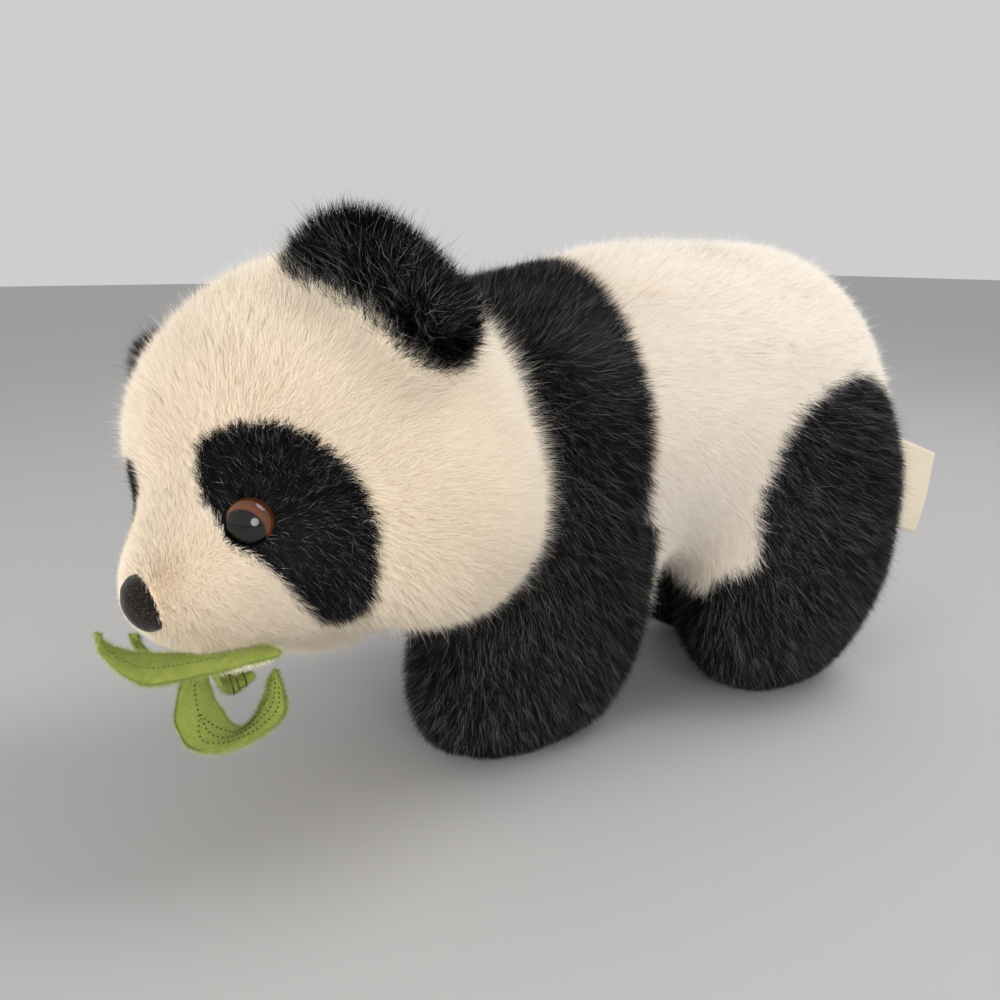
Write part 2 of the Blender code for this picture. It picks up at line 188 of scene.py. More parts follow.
lamps = {  # the narrow beams keep the floor below the lamps from burning out
    "key": {"place": (0.18, 0.50, 1.05), "aim": 0.08, "size": 0.7, "energy": 4.9, "beam": 180,
            "colour": (1.0, 0.98, 0.96)},
    "fill": {"place": (1.20, -0.22, 0.36), "aim": 0.1, "size": 0.6, "energy": 1.87, "beam": 100,
             "colour": (1.0, 0.95, 0.89)},
    "front": {"place": (0.60, -1.95, 0.34), "aim": 0.1, "size": 0.8, "energy": 3.2, "beam": 60,
              "colour": (1.0, 0.95, 0.89)},
}


def makeCamera():
    data = bpy.data.cameras.new("camera")
    data.lens = view["lens"]
    data.sensor_width = 36.0
    data.clip_start = 0.01
    camera = bpy.data.objects.new("camera", data)
    bpy.context.scene.collection.objects.link(camera)
    turn, drop = math.radians(view["azimuth"]), math.radians(view["downward"])
    ahead = Vector((-math.sin(turn) * math.cos(drop), math.cos(turn) * math.cos(drop), -math.sin(drop)))
    camera.rotation_euler = ahead.to_track_quat("-Z", "Y").to_euler()
    camera.location = view["place"]
    bpy.context.scene.camera = camera


def makeLamp(name, lamp):
    data = bpy.data.lights.new(name, "AREA")
    data.shape = "DISK"
    data.size = lamp["size"]
    data.energy = lamp["energy"]
    data.color = lamp["colour"]
    data.spread = math.radians(lamp["beam"])
    light = bpy.data.objects.new(name, data)
    light.location = lamp["place"]
    ahead = Vector((0, 0, lamp["aim"])) - Vector(lamp["place"])
    light.rotation_euler = ahead.to_track_quat("-Z", "Y").to_euler()
    bpy.context.scene.collection.objects.link(light)


def makeStudio():
    mesh = bpy.data.meshes.new("floor")
    mesh.from_pydata([(-6, -6, 0), (6, -6, 0), (6, 6, 0), (-6, 6, 0)], [], [(0, 1, 2, 3)])
    floor = newObject("floor", mesh)
    material, tree, shader = newMaterial("floorPaper")
    setInputs(tree, shader, {"Base Color": studio["floorColour"], "Roughness": 0.9})
    mesh.materials.append(material)
    world = bpy.data.worlds.new("studio")
    world.use_nodes = True
    sky = world.node_tree.nodes["Background"]
    setInputs(world.node_tree, sky, {"Color": studio["skyColour"], "Strength": studio["skyStrength"]})
    bpy.context.scene.world = world
    bpy.context.scene.view_settings.view_transform = "Standard"  # cream and green keep their colour
    for name in lamps:
        makeLamp(name, lamps[name])
    bpy.data.objects["front"].visible_glossy = False  # keeps a grey disc out of the eyes


makeCamera()
makeStudio()
print("camera and studio made")


# The stuffed skin: every furry node grown together, then let in by the depth of the pile

skin = {
    "grow": 0.0004,  # closes the thin gaps between the nodes
    "voxel": 0.0024,
    "smoothing": 6,  # passes, on its shape and then on its depth
    "steps": 8,  # in which it is let in by the depth of the pile
    "legDepth": 0.0066,
    "bodyDepth": 0.0062,
    "earDepth": 0.0060,
    "soleDepth": 0.0030,
    "soleFade": (0.001, 0.020),  # heights between which the pile grows to its full depth
    "muzzleDepth": 0.0022,
    "cheekDepth": 0.0056,
    "faceFade": (0.018, 0.085),  # the same from the nose to the cheek
    "eyeDepth": 0.0026,
    "eyeFade": (0.008, 0.030),
    "eyeRing": 0.0098,  # the patch reaches all round the eye, this far from its middle
    "patchMargin": 0.0045,  # the far patch is sewn this much wider than the near one
    "backing": (0.88, 0.73, 0.55),
    "backingPale": (0.93, 0.82, 0.68),
    "backingDark": (0.002, 0.002, 0.002),
    "fill": 0.8,  # how tightly it is stuffed
}

sides = ("left", "right")
legNodes = [kind + side for kind in ("foreleg_", "hindleg_") for side in sides]
earNodes = ["ear_" + side for side in sides]
patchNodes = ["eye_patch_" + side for side in sides]
fleshNodes = ["head", "yoke", "barrel", "tail"] + earNodes + patchNodes + legNodes
insetNodes = ["nose"] + ["eye_" + side for side in sides]
blackNodes = ["yoke"] + earNodes + patchNodes + legNodes
noseAt = np.array(nodeMiddle("nose"))
eyesAt = [np.array(nodeMiddle("eye_" + side)) for side in sides]


def vertexNormals(points, tris):
    a, b, c = (points[tris[:, k]] for k in range(3))
    face = np.cross(b - a, c - a)
    total = [np.bincount(tris.ravel(), np.repeat(face[:, k], 3), len(points)) for k in range(3)]
    return unit(np.stack(total, axis=1))


def neighbourMean(values, tris):
    start = tris.ravel()
    end = np.roll(tris, -1, axis=1).ravel()
    count = np.maximum(np.bincount(start, minlength=len(values)), 1)
    total = [np.bincount(start, values[end, k], len(values)) for k in range(values.shape[1])]
    return np.stack(total, axis=1) / count[:, None]


def regionTree():  # finds which node a point on the outside belongs to
    points, tris, owner = [], [], []
    for index, name in enumerate(fleshNodes):
        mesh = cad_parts[name].data
        base = sum(len(p) for p in points)
        points.append(vertexArray(mesh))
        tris.append(triangleArray(mesh) + base)
        owner += [index] * len(tris[-1])
    points, tris = np.concatenate(points), np.concatenate(tris)
    return BVHTree.FromPolygons(points.tolist(), tris.tolist()), np.array(owner)


def regionsOf(points):
    tree, owner = regionFinder
    regions = np.array([owner[tree.find_nearest(p)[2]] for p in points.tolist()])
    wide = fleshNodes.index("eye_patch_right")
    for k in np.flatnonzero(regions == 0):
        if widePatch.find_nearest(points[k].tolist(), skin["patchMargin"])[0]:
            regions[k] = wide
    for name, eyeAt in zip(patchNodes, eyesAt):
        regions[np.linalg.norm(points - eyeAt, axis=1) < skin["eyeRing"]] = fleshNodes.index(name)
    return regions


def pileDepth(points, regions):  # from the tips of the pile in to the cloth
    names = np.array(fleshNodes)[regions]
    depth = np.full(len(points), skin["bodyDepth"])
    depth[np.isin(names, legNodes)] = skin["legDepth"]
    depth[np.isin(names, earNodes)] = skin["earDepth"]
    depth[names == "tail"] = skin["earDepth"]
    face = np.isin(names, ["head"] + patchNodes)
    fromNose = np.linalg.norm(points - noseAt, axis=1)
    growth = smoothStep(*skin["faceFade"], fromNose)
    depth[face] = (skin["muzzleDepth"] + (skin["cheekDepth"] - skin["muzzleDepth"]) * growth)[face]
    for eyeAt in eyesAt:
        near = 1 - smoothStep(*skin["eyeFade"], np.linalg.norm(points - eyeAt, axis=1))
        depth = np.where(face, depth + (skin["eyeDepth"] - depth) * near, depth)
    sole = 1 - smoothStep(*skin["soleFade"], points[:, 2])
    return depth + (skin["soleDepth"] - depth) * sole


def makeSkin():
    whole = bmesh.new()
    for name in fleshNodes + insetNodes:
        bm = weldedNode(name)
        bm.normal_update()
        for v in bm.verts:
            v.co += v.normal * skin["grow"]
        mesh = meshFrom(bm, "grown")
        whole.from_mesh(mesh)
        bpy.data.meshes.remove(mesh)
    blank = newObject("skinBlank", meshFrom(whole, "skinBlank"))
    remesh = blank.modifiers.new("Remesh", "REMESH")
    remesh.mode = "VOXEL"
    remesh.voxel_size = skin["voxel"]
    mesh = bakedMesh(blank)
    tris = triangleArray(mesh)
    points = vertexArray(mesh)
    for _ in range(skin["smoothing"]):
        points += 0.5 * (neighbourMean(points, tris) - points)
    outer = points.copy()
    regions = regionsOf(outer)
    depth = pileDepth(outer, regions)
    for _ in range(skin["smoothing"]):
        depth = neighbourMean(depth[:, None], tris)[:, 0]
    for _ in range(skin["steps"]):
        normals = vertexNormals(points, tris)
        for _ in range(3):
            normals = unit(neighbourMean(normals, tris))
        points = points - normals * (depth / skin["steps"])[:, None]
        points += 0.25 * (neighbourMean(points, tris) - points)
    points[:, 2] = np.maximum(points[:, 2], skin["soleDepth"] * 0.8)
    mesh.vertices.foreach_set("co", points.astype(np.float32).ravel())
    mesh.update()
    obj = newObject("plushSkin", mesh)
    mesh.shade_smooth()
    pointValues(mesh, "dark", np.isin(np.array(fleshNodes)[regions], blackNodes))
    return obj, points, tris, outer, depth


def unwrap(obj):
    obj.data.uv_layers.new(name="OFBake")
    bpy.context.view_layer.objects.active = obj
    obj.select_set(True)
    bpy.ops.object.mode_set(mode="EDIT")
    bpy.ops.mesh.select_all(action="SELECT")
    bpy.ops.uv.smart_project(angle_limit=math.radians(66), island_margin=0.004)
    bpy.ops.object.mode_set(mode="OBJECT")
    obj.select_set(False)


regionFinder = regionTree()
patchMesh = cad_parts["eye_patch_right"].data
widePatch = BVHTree.FromPolygons(vertexArray(patchMesh).tolist(), triangleArray(patchMesh).tolist())
skinObject, skinPoints, skinTris, outerPoints, skinDepth = makeSkin()
unwrap(skinObject)
print("skin made,", len(skinPoints), "points")


# Materials of the pile

def buildPileShade():  # root colour to tip colour, the darker root painting the shade deep in the pile, and the glint colour, a painted highlight, on the few strands given a high share of it
    group = bpy.data.node_groups.new("pileShade", "ShaderNodeTree")
    for socket in ("Root", "Tip", "Glint"):
        group.interface.new_socket(socket, in_out="INPUT", socket_type="NodeSocketColor")
    group.interface.new_socket("Colour", in_out="OUTPUT", socket_type="NodeSocketColor")
    look = addNode(group, "NodeGroupInput").outputs
    strand = mixed(group, attributeOf(group, "along"), look["Root"], look["Tip"])
    pale = stretched(group, attributeOf(group, "glintShare"), 0.45, 1.0, interpolation_type="SMOOTHSTEP")
    addNode(group, "NodeGroupOutput", {"Colour": mixed(group, pale, strand, look["Glint"])})
    return group


pileShade = buildPileShade()

# painted shade: the face's white pile, darker and warmer than the body's to stand for the shade and warm
# bounce on the face; its darker root paints shade deep in the pile, its glint is a painted highlight
shadedFacePile = {
    "root": (0.91, 0.77, 0.59),
    "tip": (0.925, 0.83, 0.69),
    "glint": (0.95, 0.89, 0.80),
    "roughness": 0.9,
    "specular": 0.1,
}

# the body's white pile: the darker, warmer root paints the shade deep in the pile, the glint is a painted
# highlight on loose strands
whitePile = {
    "root": (0.915, 0.785, 0.63),
    "tip": (0.96, 0.905, 0.825),
    "glint": (0.98, 0.97, 0.95),
    "roughness": 0.85,
    "specular": 0.15,
}

# the black pile: the darker root paints the shade deep in the pile, the grey glint is a painted highlight on
# loose strands
blackPile = {
    "root": (0.0006, 0.0006, 0.0009),
    "tip": (0.0034, 0.0034, 0.0040),
    "glint": (0.21, 0.21, 0.22),
    "roughness": 0.5,
    "specular": 0.085,
}


def pileMaterial(name, look):
    material, tree, shader = newMaterial(name)
    colours = {"Root": look["root"], "Tip": look["tip"], "Glint": look["glint"]}
    shade = addNode(tree, "ShaderNodeGroup", colours, node_tree=pileShade).outputs["Colour"]
    setInputs(tree, shader, {"Base Color": shade, "Roughness": look["roughness"],
                             "Specular IOR Level": look["specular"]})
    return material


def skinMaterial():
    material, tree, shader = newMaterial("backingCloth")
    white = mixed(tree, noiseOf(tree, 900), skin["backing"], skin["backingPale"])
    cloth = mixed(tree, attributeOf(tree, "dark"), white, skin["backingDark"])
    setInputs(tree, shader, {"Base Color": cloth, "Roughness": 0.9, "Specular IOR Level": 0.1})
    return material


shadedFacePileFinish = pileMaterial("shadedFacePileFinish", shadedFacePile)
whitePileFinish = pileMaterial("whitePileFinish", whitePile)
blackPileFinish = pileMaterial("blackPileFinish", blackPile)
skinObject.data.materials.clear()
skinObject.data.materials.append(skinMaterial())
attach(skinObject, root)
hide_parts(*fleshNodes)


# The coat: small locks of thin blades over the skin

coat = {
    "seed": 11,
    "bladesPerLock": 6,
    "lockRadius": 0.0014,
    "sink": 0.0004,  # how deep the roots sit in the cloth
    "lockTurn": 0.30,  # how far whole locks turn and lean from the lie, in radians
    "lockLean": 0.10,
    "bladeTurn": (0.25, 0.35),  # the same for one blade, at its root and at its tip
    "bladeLean": (0.12, 0.16),
    "swirl": 0.35,  # how far the lie of the coat wanders
    "partAt": 0.016,  # how far before the nose's middle the coat of the face parts
    "ease": 7,  # how widely the lie turns from one piece's to the next's
    "shortPile": 0.9,  # how much closer the blades stand where the pile is short
    "under": 0.45,  # how much thinner it is on the soles and undersides
    "fringe": 0.14,  # how much longer the locks are along the back edge of the cheeks
    "fringePull": 0.34,  # and how far they draw together
    "most": 190000,  # triangles in one piece
    "patch": 0.0015,  # half the size of a blade's own patch of the unwrap
    "clear": {"nose": 0.86, "eye_left": 0.93, "eye_right": 0.93},  # share of these that no blade lies over
}

lieOf = {  # which way the coat lies on the nodes whose names start so
    "foreleg": (0, 0.10, -1),
    "hindleg": (0, 0.45, -1),
    "tail": (0, 0.6, -0.8),
    "barrel": (0, 1, -0.45),
    "yoke": (0, 1, -0.45),
}

facePile = {
    "perSquareMillimetre": 9.0,
    "width": 0.00027,
    "rootLean": 46.0,  # degrees from upright
    "tipLean": 60.0,
    "pull": 0.10,  # how far a lock's tips draw together
    "strays": 0.06,  # share of loose blades
    "strayLength": 1.50,
    "lengths": (0.74, 1.20),
    "twist": 0.28,  # how far the blades turn edge on
    "shine": 0.07,  # how much each blade's own slope shows in its light
}

bodyPile = {
    "perSquareMillimetre": 7.0,
    "width": 0.00032,
    "rootLean": 42.0,
    "tipLean": 60.0,
    "pull": 0.18,
    "strays": 0.05,
    "strayLength": 1.45,
    "lengths": (0.74, 1.22),
    "twist": 0.35,
    "shine": 0.15,
}

darkPile = {
    "perSquareMillimetre": 6.3,
    "width": 0.00031,
    "rootLean": 34.0,
    "tipLean": 56.0,
    "pull": 0.24,
    "strays": 0.07,
    "strayLength": 1.45,
    "lengths": (0.76, 1.14),
    "twist": 0.45,
    "shine": 0.32,
}

earPile = {
    **darkPile,
    "rootLean": 26.0,
    "tipLean": 48.0,
    "strays": 0.065,
    "strayLength": 1.70,
    "lengths": (0.88, 1.42),
}

pileOf = {name: earPile if name in earNodes else darkPile for name in fleshNodes}
pileOf["head"] = facePile
pileOf["barrel"] = pileOf["tail"] = bodyPile

rng = np.random.default_rng(coat["seed"])
waves = [(rng.normal(size=3) * 130, rng.uniform(0, 6.28), unit(rng.normal(size=3))) for _ in range(9)]


def wander(points):  # a slow swirl in the lie of the coat
    total = np.zeros_like(points)
    for direction, phase, push in waves:
        total += np.sin(points @ direction + phase)[:, None] * push
    return total / 2.2


def layOf(points, regions):  # which way the coat lies, before it is laid flat on the skin
    names = np.array(fleshNodes)[regions]
    lie = np.zeros((len(points), 3))
    for kind, way in lieOf.items():
        lie[np.char.startswith(names, kind)] = way
    for name in earNodes:
        middle = np.array(nodeMiddle(name))
        away = unit(middle - np.array(nodeMiddle("head")))
        lie[names == name] = unit(points[names == name] - (middle - 0.035 * away))
    for name, eyeAt in zip(patchNodes, eyesAt):
        lie[names == name] = unit(points[names == name] - eyeAt)
    noseTip = noseAt + coat["partAt"] * insetFrames["nose"][2][:, 2]
    lie[names == "head"] = unit(points[names == "head"] - noseTip) + (0, 0, -0.20)
    return unit(lie) + coat["swirl"] * wander(points)


def scatterLocks():  # lock roots over the skin, as places on its triangles
    a, b, c = (skinPoints[skinTris[:, k]] for k in range(3))
    area = np.linalg.norm(np.cross(b - a, c - a), axis=1) / 2
    middle = (outerPoints[skinTris].sum(axis=1)) / 3
    region = regionsOf(middle)
    density = np.array([pileOf[name]["perSquareMillimetre"] for name in fleshNodes])[region] * 1e6
    thick = skinDepth[skinTris].mean(axis=1)
    density = density * (1 + coat["shortPile"] * (1 - smoothStep(0.0025, 0.0050, thick)))
    density *= 1 - coat["under"] * smoothStep(0.55, 0.90, -unit(np.cross(b - a, c - a))[:, 2])
    reach = np.cumsum(area * density / coat["bladesPerLock"])
    count = int(reach[-1])
    chosen = np.searchsorted(reach, (np.arange(count) + rng.random(count)) * reach[-1] / count)
    u, v = rng.random((2, len(chosen)))
    flip = u + v > 1
    u[flip], v[flip] = 1 - u[flip], 1 - v[flip]
    weights = np.stack([1 - u - v, u, v], axis=1)
    return chosen, weights


def interpolated(values, chosen, weights):
    return (values[skinTris[chosen]] * weights[:, :, None]).sum(axis=1)


def triangleUv():  # the unwrap's three corners for each skin triangle
    mesh = skinObject.data
    uv = np.empty(len(mesh.loops) * 2, np.float32)
    mesh.uv_layers["OFBake"].data.foreach_get("uv", uv)
    loops = np.empty(len(mesh.loop_triangles) * 3, np.int32)
    mesh.loop_triangles.foreach_get("loops", loops)
    return uv.reshape(-1, 2)[loops].reshape(-1, 3, 2)


def fringeOf(node, normal):  # 1 along the back edge of the cheeks, where the locks stand out over the collar
    if node != "head":
        return np.zeros(len(normal))
    back = unit(np.array(nodeMiddle("head")) - noseAt)
    toBack = normal @ back
    return smoothStep(-0.10, 0.35, toBack) * (1 - smoothStep(0.80, 0.97, toBack))


def makeBlades(pile, place, normal, along, depth, fringe):
    count, each = len(place), coat["bladesPerLock"]
    across = np.cross(normal, along)

    def spread(values):
        return np.repeat(values, each, axis=0)

    def lean(angle, turn):
        flat = spread(along) * np.cos(turn)[:, None] + spread(across) * np.sin(turn)[:, None]
        return spread(normal) * np.cos(angle)[:, None] + flat * np.sin(angle)[:, None]

    total = count * each
    r = coat["lockRadius"] * np.sqrt(rng.random(total))
    phi = rng.uniform(0, 2 * np.pi, total)
    offset = spread(along) * (r * np.cos(phi))[:, None] + spread(across) * (r * np.sin(phi))[:, None]
    start = spread(place) + offset - spread(normal) * coat["sink"]
    rootAngle, tipAngle = math.radians(pile["rootLean"]), math.radians(pile["tipLean"])
    lockTurn = spread(rng.normal(0, coat["lockTurn"], count))
    lockLean = spread(rng.normal(0, coat["lockLean"], count))
    (rootTurn, tipTurn), (rootSway, tipSway) = coat["bladeTurn"], coat["bladeLean"]
    rootLean = rootAngle + lockLean * 0.6 + rng.normal(0, rootSway, total)
    tipLean = tipAngle + lockLean + rng.normal(0, tipSway, total)
    rise = 0.5 * math.cos(rootAngle) + 0.5 * math.cos(tipAngle)
    length = spread(depth / rise * rng.uniform(0.94, 1.08, count)) * rng.uniform(*pile["lengths"], total)
    fluff = 0.3 + 1.5 * smoothStep(0.0025, 0.0056, depth)  # short pile has few loose strands
    length *= spread(1 + coat["fringe"] * fringe * rng.uniform(0.4, 1.4, count))
    stray = rng.random(total) < pile["strays"] * spread(fluff * (1 + 2 * fringe))
    length[stray] *= rng.uniform(1.0, pile["strayLength"], stray.sum())
    rootLean[stray] += rng.normal(0, 0.25, stray.sum())
    tipLean[stray] += rng.normal(0, 0.35, stray.sum())
    loose = 1 + 1.4 * stray
    first = lean(rootLean, lockTurn + rng.normal(0, rootTurn, total)) * (length * 0.5)[:, None]
    second = lean(tipLean, lockTurn + rng.normal(0, tipTurn, total) * loose) * (length * 0.5)[:, None]
    knee, tip = start + first, start + first + second
    lockKnee = spread(knee.reshape(count, each, 3).mean(axis=1))
    lockTip = spread(tip.reshape(count, each, 3).mean(axis=1))
    pull = np.where(stray, 0.0, pile["pull"] + coat["fringePull"] * spread(fringe))[:, None]
    knee = knee + (lockKnee - knee) * pull * 0.35
    tip = tip + (lockTip - tip) * pull
    for points in (start, knee, tip):
        points[:, 2] = np.maximum(points[:, 2], rng.uniform(0.0002, 0.0010, total))
    run = unit(tip - start)
    flat = unit(np.cross(run, spread(normal)))
    stand = np.cross(flat, run)
    twist = rng.normal(0, pile["twist"], total)
    edge = flat * np.cos(twist)[:, None] + stand * np.sin(twist)[:, None]
    width = pile["width"] * rng.uniform(0.75, 1.2, total)
    width[stray] *= 0.6
    half = edge * (width / 2)[:, None]
    corners = np.stack([start - half, start + half, tip], axis=1)
    bend = unit(spread(normal) + stand * pile["shine"] + edge * rng.normal(0, 0.12, total)[:, None])
    return corners, bend, stray, (knee + tip) / 2


def bladeMesh(name, corners, bend, glintShare, uv):  # each blade is one thin triangle
    count = len(corners)
    mesh = bpy.data.meshes.new(name)
    mesh.vertices.add(count * 3)
    mesh.vertices.foreach_set("co", corners.astype(np.float32).ravel())
    mesh.loops.add(count * 3)
    mesh.loops.foreach_set("vertex_index", np.arange(count * 3, dtype=np.int32))
    mesh.polygons.add(count)
    mesh.polygons.foreach_set("loop_start", np.arange(0, count * 3, 3, dtype=np.int32))
    mesh.update(calc_edges=True)
    pointValues(mesh, "along", np.tile((0, 0, 1), count))
    # each blade's share of the painted highlight colour
    pointValues(mesh, "glintShare", np.repeat(glintShare, 3))
    patch = np.array([(-1, -1), (1, -1), (0, 1)]) * coat["patch"]
    layer = mesh.uv_layers.new(name="OFBake")
    layer.data.foreach_set("uv", (uv[:, None, :] + patch).astype(np.float32).ravel())
    mesh.shade_smooth()
    mesh.normals_split_custom_set_from_vertices(np.repeat(bend, 3, axis=0).astype(np.float32))
    return mesh


def eggFrame(name):  # middle, half sizes and axes of an egg-shaped node, the way it faces last
    points = vertexArray(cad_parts[name].data)
    middle = (points.max(axis=0) + points.min(axis=0)) / 2
    axes = np.linalg.eigh(np.cov((points - middle).T))[1][:, ::-1]
    if name == "nose" and abs(axes[1, 1]) > abs(axes[1, 2]):
        axes = axes[:, [0, 2, 1]]
    if np.dot(axes[:, 2], middle - np.array(nodeMiddle("head"))) < 0:
        axes[:, 2] *= -1
    reach = np.abs((points - middle) @ axes).max(axis=0)
    return middle, reach, axes


insetFrames = {name: eggFrame(name) for name in insetNodes}


def covers(points, name, share):  # True where a point is over the face of the eye or nose
    middle, reach, axes = insetFrames[name]
    local = (points - middle) @ axes / reach
    return (np.hypot(local[:, 0], local[:, 1]) < share) & (local[:, 2] > -0.4) & (local[:, 2] < 4)


def makeCoat():
    normals = vertexNormals(skinPoints, skinTris)
    chosen, weights = scatterLocks()
    outside = interpolated(outerPoints, chosen, weights)
    free = np.ones(len(chosen), bool)
    for node in insetNodes:
        free &= ~covers(outside, node, 1.02)
    chosen, weights = chosen[free], weights[free]
    place = interpolated(skinPoints, chosen, weights)
    normal = unit(interpolated(normals, chosen, weights))
    outside = interpolated(outerPoints, chosen, weights)
    depth = (skinDepth[skinTris[chosen]] * weights).sum(axis=1)
    uv = (triangleUv()[chosen] * weights[:, :, None]).sum(axis=1)
    region = regionsOf(outside)
    names = np.array(fleshNodes)[region]
    field = layOf(outerPoints, regionsOf(outerPoints))
    for _ in range(coat["ease"]):
        field = neighbourMean(field, skinTris)
    lie = interpolated(field, chosen, weights)
    along = unit(lie - normal * (lie * normal).sum(axis=1, keepdims=True))
    made = []
    for node in fleshNodes:
        pile = pileOf[node]
        own = np.flatnonzero(names == node)
        order = own[np.argsort(place[own, 1])]
        parts = max(1, math.ceil(len(order) / (coat["most"] // coat["bladesPerLock"])))
        for number, share in enumerate(np.array_split(order, parts)):
            fringe = fringeOf(node, normal[share])
            ground = [values[share] for values in (place, normal, along, depth)]
            corners, bend, stray, upper = makeBlades(pile, *ground, fringe)
            # how much of the painted highlight colour each blade takes; loose strands take the most
            lockGlintShare = np.repeat(rng.random(len(share)), coat["bladesPerLock"])
            glintShare = 0.3 * lockGlintShare + 0.4 * rng.random(len(corners))
            glintShare[stray] = rng.uniform(0.5, 1.0, stray.sum())
            shareUv = np.repeat(uv[share], coat["bladesPerLock"], axis=0)
            keep = np.ones(len(corners), bool)
            for inset, edge in coat["clear"].items():
                keep &= ~(covers(corners[:, -1], inset, edge) | covers(upper, inset, edge))
            corners, bend, glintShare, shareUv = corners[keep], bend[keep], glintShare[keep], shareUv[keep]
            name = f"coat_{node}" + (f"_{number + 1}" if parts > 1 else "")
            obj = newObject(name, bladeMesh(name, corners, bend, glintShare, shareUv))
            dark = node in blackNodes
            # the face takes the copy of the white pile with painted shade
            light = shadedFacePileFinish if node == "head" else whitePileFinish
            obj.data.materials.append(blackPileFinish if dark else light)
            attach(obj, root)
            made.append(obj)
    print("coat made,", sum(len(o.data.polygons) for o in made), "triangles in", len(made), "pieces")


makeCoat()


# Eyes and nose

eye = {
    "iris": (0.132, 0.041, 0.014),
    "irisEdge": (0.070, 0.020, 0.008),
    "pupilColour": (0.002, 0.002, 0.002),
    "pupil": 0.94,  # of the eye's radius
    "drop": 0.27,  # how far the pupil sits below the eye's middle
    "inward": 0.32,  # how far it sits towards the muzzle
}

nose = {"colour": (0.007, 0.005, 0.0045), "highlight": (0.050, 0.040, 0.036), "grain": 1500.0}


def roundEgg(name, middle, reach, axes):
    bm = bmesh.new()
    bmesh.ops.create_uvsphere(bm, u_segments=64, v_segments=40, radius=1)
    turn = Matrix([[axes[r][c] * reach[c] for c in range(3)] for r in range(3)])
    bmesh.ops.transform(bm, matrix=turn.to_4x4(), verts=bm.verts)
    bmesh.ops.translate(bm, vec=Vector(middle), verts=bm.verts)
    bmesh.ops.recalc_face_normals(bm, faces=bm.faces)
    return newObject(name, meshFrom(bm, name))


def eyeMaterial():
    material, tree, shader = newMaterial("eyePlastic")
    ring = addNode(tree, "ShaderNodeValToRGB", {"Fac": attributeOf(tree, "gaze")})
    stops = ring.color_ramp.elements
    stops[0].position, stops[0].color = 0.0, (*eye["pupilColour"], 1)
    stops[1].position, stops[1].color = 1.0, (*eye["irisEdge"], 1)
    for beyond, colour in ((0, eye["pupilColour"]), (0.03, eye["irisEdge"]), (0.12, eye["iris"]),
                           (0.40, eye["irisEdge"])):
        stop = stops.new((eye["pupil"] + beyond) / 2)
        stop.color = (*colour, 1)
    setInputs(tree, shader, {"Base Color": ring.outputs["Color"], "Roughness": 0.08,
                             "Specular IOR Level": 0.35, "Coat Weight": 0.5, "Coat Roughness": 0.02})
    return material


def noseMaterial():
    material, tree, shader = newMaterial("noseFlock")
    grain = noiseOf(tree, nose["grain"], Detail=3)
    # painted highlight: random specks of the highlight colour over the flock
    highlightSpecks = mixed(tree, stretched(tree, grain, 0.52, 0.72), nose["colour"], nose["highlight"])
    setInputs(tree, shader, {"Base Color": highlightSpecks, "Normal": bumpOf(tree, grain, 0.6, 0.0003),
                             "Roughness": 0.9, "Specular IOR Level": 0.15, "Sheen Weight": 0.25})
    return material


def makeEyes():
    finish = eyeMaterial()
    for side in sides:
        name = "eye_" + side
        middle, reach, axes = insetFrames[name]
        obj = roundEgg("glossEye_" + side, middle, reach, axes)
        outward = axes[:, 2]
        inward = unit(noseAt - middle)
        inward = unit(inward - outward * np.dot(inward, outward))
        down = unit(np.array((0, 0, -1)) + outward * outward[2])
        aim = middle + (inward * eye["inward"] + down * eye["drop"]) * reach[0]
        points = vertexArray(obj.data) - aim
        flat = points - np.outer(points @ outward, outward)
        away = np.linalg.norm(flat, axis=1) / reach[0] / 2
        away[points @ outward < 0] = 1.0
        pointValues(obj.data, "gaze", away)
        obj.data.materials.append(finish)
        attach(obj, root)
        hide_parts(name)


def makeNose():
    middle, reach, axes = insetFrames["nose"]
    obj = roundEgg("flockedNose", middle, reach, axes)
    points = vertexArray(obj.data)
    rough = 0.00012 * np.sin(points @ (900, 500, 700)) * np.sin(points @ (-600, 800, 500) + 1)
    points = middle + (points - middle) * (1 + rough[:, None] / 0.008)
    obj.data.vertices.foreach_set("co", points.astype(np.float32).ravel())
    obj.data.materials.append(noseMaterial())
    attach(obj, root)
    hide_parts("nose")


makeEyes()
makeNose()
print("eyes and nose made")


# Bamboo leaves of felt, held in the mouth

toyAt = np.array((-0.0138, 0.0195, 0.0))

